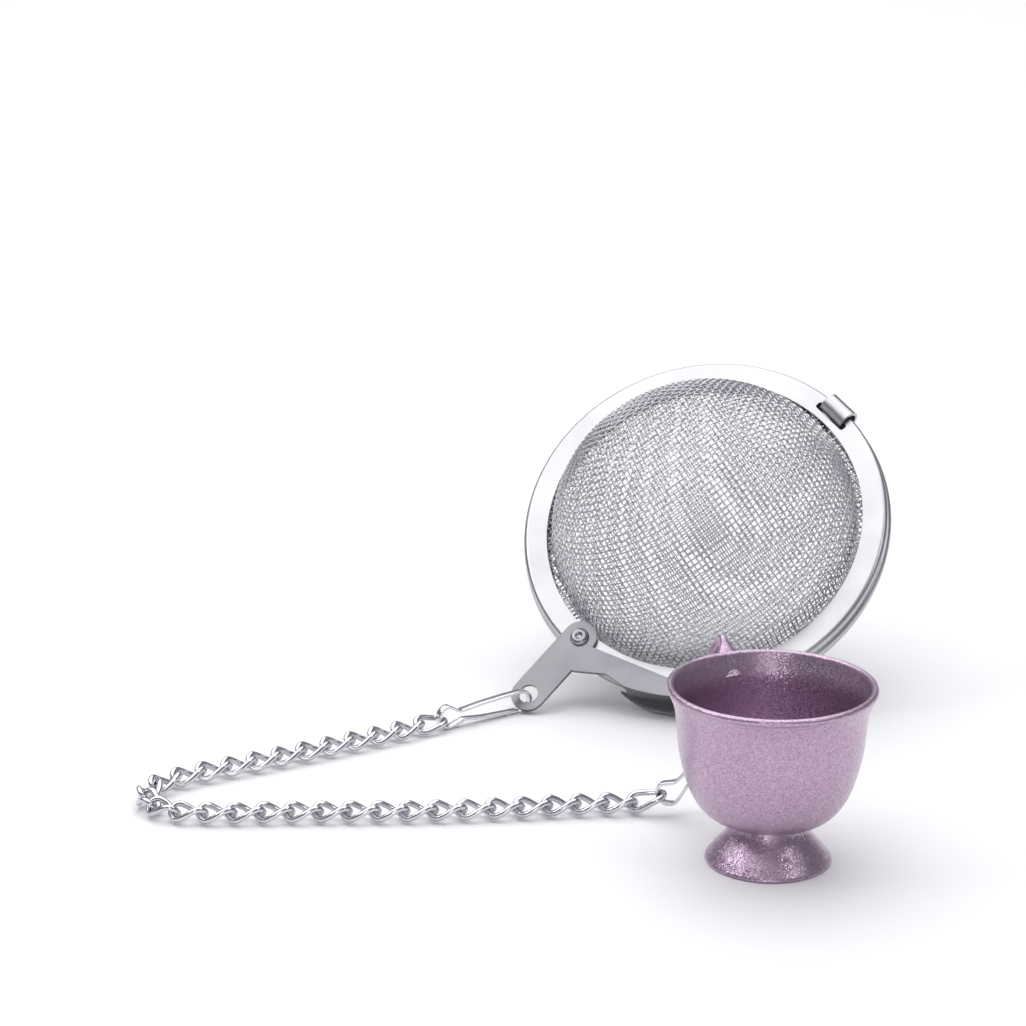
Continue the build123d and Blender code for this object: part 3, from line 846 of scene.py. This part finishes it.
# ---------------------------------------------------------------- teacup
@dataclass
class Teacup:
    """The weight: a bowl on a flared foot with an ear handle.

    Attributes:
        body: Body that carries it.
        segments: Steps round the bowl; the foot takes twice as many, for its seam.
        rim_radius: Outside of the lip.
        wall: Thickness of the bowl.
        height: Top of the lip.
        foot_height: Where the bowl meets the foot.
        foot_radius: Outside of the foot.
        neck: Radius of the narrowest place.
        bead: Radius of the rolled lip.
        seam_heading: Direction of the foot's seam, in degrees.
        seam_depth: How far the seam is cut in.
        seam_width: Half width of the seam.
        lip_turn: First and last angle of the rolled lip, in degrees.
        wall_line: Middle of the wall, as radius and height.
        ear_line: Middle of the handle, as distance from the axis and height.
        ear_samples: Points along the handle.
        ear_sides: Sides of its section.
    """

    body: str = "charm"

    segments: int = 224
    rim_radius: float = 14.0
    wall: float = 0.9
    height: float = 24.9
    foot_height: float = 5.4
    foot_radius: float = 8.5
    neck: float = 4.7
    bead: float = 0.52
    seam_heading: float = -32.0
    seam_depth: float = 0.09
    seam_width: float = 0.16
    lip_turn: tuple[float, float] = (-55.0, 165.0)
    wall_line: tuple[tuple[float, float], ...] = (
        (4.4, 5.85),
        (8.05, 7.35),
        (10.25, 10.3),
        (11.6, 14.8),
        (12.05, 18.4),
        (12.4, 21.6),
        (13.2, 23.8),
    )
    ear_line: tuple[tuple[float, float], ...] = (
        (12.4, 21.4),
        (14.0, 23.3),
        (15.6, 25.1),
        (16.3, 25.75),
        (16.95, 25.1),
        (17.7, 22.8),
        (18.4, 20.4),
        (18.6, 18.2),
        (18.2, 14.4),
        (17.5, 12.1),
        (15.8, 11.1),
        (13.2, 10.75),
        (10.4, 10.4),
    )
    ear_samples: int = 96
    ear_sides: int = 20

    def axis(self) -> np.ndarray:
        """Foot of the cup's upright axis, on the table."""
        low, high = (np.array(corner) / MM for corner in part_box("cup_foot"))
        middle = (low + high) / 2
        return np.array([middle[0], middle[1], low[2]])

    def bowl(self) -> Surface:
        """Bowl with a rolled lip.

        The wall follows one smooth line, set off to each side by half the wall's thickness. A
        round bead joins the two at the lip, and the floor closes both at the axis.
        """
        middle = smooth_path(np.array(self.wall_line), 60)
        slope = unit(np.gradient(middle, axis=0))
        out = np.stack([slope[:, 1], -slope[:, 0]], axis=1) * self.wall / 2
        outer, inner = middle + out, (middle - out)[::-1]
        lip = np.array([self.rim_radius - self.bead, self.height - self.bead])
        angle = np.linspace(*np.radians(self.lip_turn), 28)
        roll = lip + self.bead * np.stack([np.cos(angle), np.sin(angle)], axis=1)
        under = np.array([(0.02, self.foot_height), (self.neck * 0.6, self.foot_height)])
        floor = np.array([(3.0, self.foot_height + self.wall), (0.02, self.foot_height + self.wall)])
        profile = np.vstack([under, outer, roll, inner, floor])
        return lathe(profile, self.axis(), self.segments)

    def foot(self) -> Surface:
        """Flared foot with a soft edge, a hollow underside and a fine upright seam."""
        flare = smooth_path(
            np.array(
                [
                    (self.foot_radius - 0.12, 0.55),
                    (self.foot_radius - 0.5, 1.05),
                    (7.35, 1.9),
                    (6.3, 3.1),
                    (5.3, 4.4),
                    (self.neck + 0.05, self.foot_height + 0.35),
                ]
            ),
            40,
        )
        hollow = np.array([(0.02, 1.2), (5.6, 1.2), (7.2, 0.0), (self.foot_radius - 0.35, 0.0)])
        edge = smooth_path(
            np.array(
                [
                    (self.foot_radius - 0.35, 0.0),
                    (self.foot_radius - 0.03, 0.22),
                    (self.foot_radius - 0.12, 0.55),
                ]
            ),
            8,
        )
        top = np.array([(0.02, self.foot_height + 0.35)])
        profile = np.vstack([hollow, edge[1:-1], flare, top])

        def seam(angle: np.ndarray, radius: np.ndarray) -> np.ndarray:
            """Depth of the seam, a bell curve across it."""
            away = (angle - math.radians(self.seam_heading % 360.0)) * radius
            return self.seam_depth * np.exp(-((away / self.seam_width) ** 2)) * (radius > self.neck)

        return lathe(profile, self.axis(), self.segments * 2, seam)

    def handle(self) -> Surface:
        """Ear handle, widest below its pointed thumb tip.

        The half width is least at the highest point of the line and grows over a few millimetres
        to each side of it, then eases to the round lower bar.
        """
        points = node_points("cup_handle") - self.axis()
        far = points[np.argmax(np.hypot(points[:, 0], points[:, 1]))]
        out = unit(np.array([far[0], far[1], 0.0]))
        line = smooth_path(np.array(self.ear_line), self.ear_samples)
        local = out[None, :] * line[:, 0:1] + UPRIGHT[None, :] * line[:, 1:2]
        sideways = np.cross(UPRIGHT, out)
        tangent = np.gradient(local, axis=0)
        normal = np.cross(sideways[None, :], tangent)
        run = np.concatenate([[0.0], np.cumsum(np.linalg.norm(np.diff(local, axis=0), axis=1))])
        tip = run[np.argmax(line[:, 1])]
        spread = ease(np.abs(run - tip) / 3.4)
        lower = ease((run - tip - 5.0) / 6.0)
        wide = 0.55 + 1.15 * spread - 0.85 * lower
        thick = 0.7 + 0.25 * spread - 0.1 * lower
        size = np.column_stack([thick, wide])
        return sweep(self.axis() + local, normal, round_outline(self.ear_sides, 0.9), size)

    def build(self, finishes: Finishes) -> None:
        """Makes the three pieces of the cup."""
        pieces = {"cup_bowl": self.bowl, "cup_foot": self.foot, "cup_handle": self.handle}
        for node, surface in pieces.items():
            finishes.settle(surface().piece(f"{node}_lilac"), Slot.LILAC, self.body, node)


# ---------------------------------------------------------------- the whole group
@dataclass
class Infuser:
    """All pieces of the infuser."""

    ring: Axes
    link_count: int

    kept: dict[str, Slot] = field(
        default_factory=lambda: {
            "front_rim": Slot.RIM,
            "back_rim": Slot.RIM,
            "latch_lever": Slot.LEVER,
            "latch_rivet": Slot.RIVET,
        }
    )

    def build(self) -> None:
        """Builds every piece and finishes the CAD nodes that stay."""
        finishes = Finishes(self.ring.turn())
        for node, slot in self.kept.items():
            finishes.dress(frame["nodes"][node], slot)
            log.info("%s keeps its CAD shape", node)
        WovenDome(self.ring, Side.FRONT, "front_mesh", "front_shell").build(finishes)
        WovenDome(self.ring, Side.BACK, "back_mesh", "back_shell").build(finishes)
        StripClip("lever_clip", "clip_swing", "chain_01_turn").build(finishes)
        StripClip("cup_clip", "charm_swing", "cup_clip_swing").build(finishes)
        for number in range(1, self.link_count + 1):
            ChainLink(number, self.link_count).build(finishes)
        Teacup().build(finishes)


# ---------------------------------------------------------------- studio
@dataclass(frozen=True)
class SoftBox:
    """One area light, aimed at a point.

    Attributes:
        name: Light name.
        place: Position in metres from the aimed point.
        size: Width and height in metres.
        power: Power in watts.
    """

    name: str
    place: tuple[float, float, float]
    size: tuple[float, float]
    power: float

    def set_up(self, target: Vector) -> None:
        """Adds the light and turns it to the target."""
        data = bpy.data.lights.new(self.name, "AREA")
        data.shape = "RECTANGLE"
        data.size, data.size_y = self.size
        data.energy = self.power
        light = bpy.data.objects.new(self.name, data)
        bpy.context.scene.collection.objects.link(light)
        light.location = target + Vector(self.place)
        light.rotation_euler = (-Vector(self.place)).to_track_quat("-Z", "Y").to_euler()


@dataclass
class Studio:
    """Pale table, soft lights and the camera.

    Attributes:
        ball: Centre of the ball, which the lights aim at.
        floor_size: Width of the table in metres.
        view_from: Camera's place from the ball's centre, in millimetres.
        view_tilt: Camera's turn up from straight down, in degrees.
        view_angle: Camera's field of view, in degrees.
        boxes: The lights.
    """

    ball: Vector
    floor_size: float = 8.0
    view_from: tuple[float, float, float] = (-29.7, -431.3, 131.7)
    view_tilt: float = 73.3
    view_angle: float = 20.0
    boxes: tuple[SoftBox, ...] = (
        SoftBox("key_above", (-0.3, 0.5, 2.0), (3.6, 3.6), 66.0),
        SoftBox("fill_front", (-0.1, -1.7, 0.5), (0.5, 0.9), 3.2),
        SoftBox("spot_left", (-0.75, -0.2, 0.75), (0.2, 0.2), 0.8),
        SoftBox("spot_right", (0.7, -0.5, 0.8), (0.2, 0.2), 0.8),
    )

    def floor(self) -> None:
        """Flat table under the lowest point of the group."""
        half = self.floor_size / 2
        corners = [(-half, -half, 0.0), (half, -half, 0.0), (half, half, 0.0), (-half, half, 0.0)]
        mesh = bpy.data.meshes.new("table")
        mesh.from_pydata(corners, [], [(0, 1, 2, 3)])
        table = bpy.data.objects.new("table", mesh)
        bpy.context.scene.collection.objects.link(table)
        material, graph, output = new_material("matt_white_table")
        shader = graph.add(
            "ShaderNodeBsdfPrincipled", {"Base Color": colour("#F4F4F6"), "Roughness": 0.65}
        )
        graph.tree.links.new(shader.outputs["BSDF"], output.inputs["Surface"])
        mesh.materials.append(material)

    def world(self) -> None:
        """Surround that is white below the horizon, grey above it and paler overhead."""
        world = bpy.data.worlds.new("studio")
        bpy.context.scene.world = world
        world.use_nodes = True
        world.node_tree.nodes.clear()
        graph = Graph(world.node_tree)
        place = graph.add("ShaderNodeTexCoord").outputs["Generated"]
        split = graph.add("ShaderNodeSeparateXYZ", {"Vector": place})
        tone = graph.ramp(
            split.outputs["Z"], (0.02, "#FFFFFF"), (0.12, "#7B7B80"), (0.5, "#7B7B80"), (0.9, "#BEBEC2")
        )
        background = graph.add("ShaderNodeBackground", {"Color": tone, "Strength": 1.0})
        output = graph.add("ShaderNodeOutputWorld")
        graph.tree.links.new(background.outputs["Background"], output.inputs["Surface"])

    def camera(self) -> None:
        """Camera a little above the table, looking slightly down, with plain colour output."""
        data = bpy.data.cameras.new("camera")
        data.sensor_width = 36.0
        data.angle = math.radians(self.view_angle)
        data.clip_start, data.clip_end = 0.01, 20.0
        camera = bpy.data.objects.new("camera", data)
        bpy.context.scene.collection.objects.link(camera)
        camera.location = self.ball + Vector(self.view_from) * MM
        camera.rotation_euler = (math.radians(self.view_tilt), 0.0, 0.0)
        bpy.context.scene.camera = camera
        bpy.context.scene.view_settings.view_transform = "Standard"

    def set_up(self) -> None:
        """Adds the table, the world, the lights and the camera."""
        self.floor()
        self.world()
        for box in self.boxes:
            box.set_up(self.ball)
        self.camera()


def main() -> None:
    """Builds the scene."""
    logging.basicConfig(level=logging.INFO, format="%(name)s: %(message)s")
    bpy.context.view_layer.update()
    ring = ring_axes()
    links = sum(name.startswith("chain_link_") for name in frame["nodes"])
    Infuser(ring, links).build()
    Studio(Vector((ring.centre * MM).tolist())).set_up()


if __name__ == "__main__":
    main()
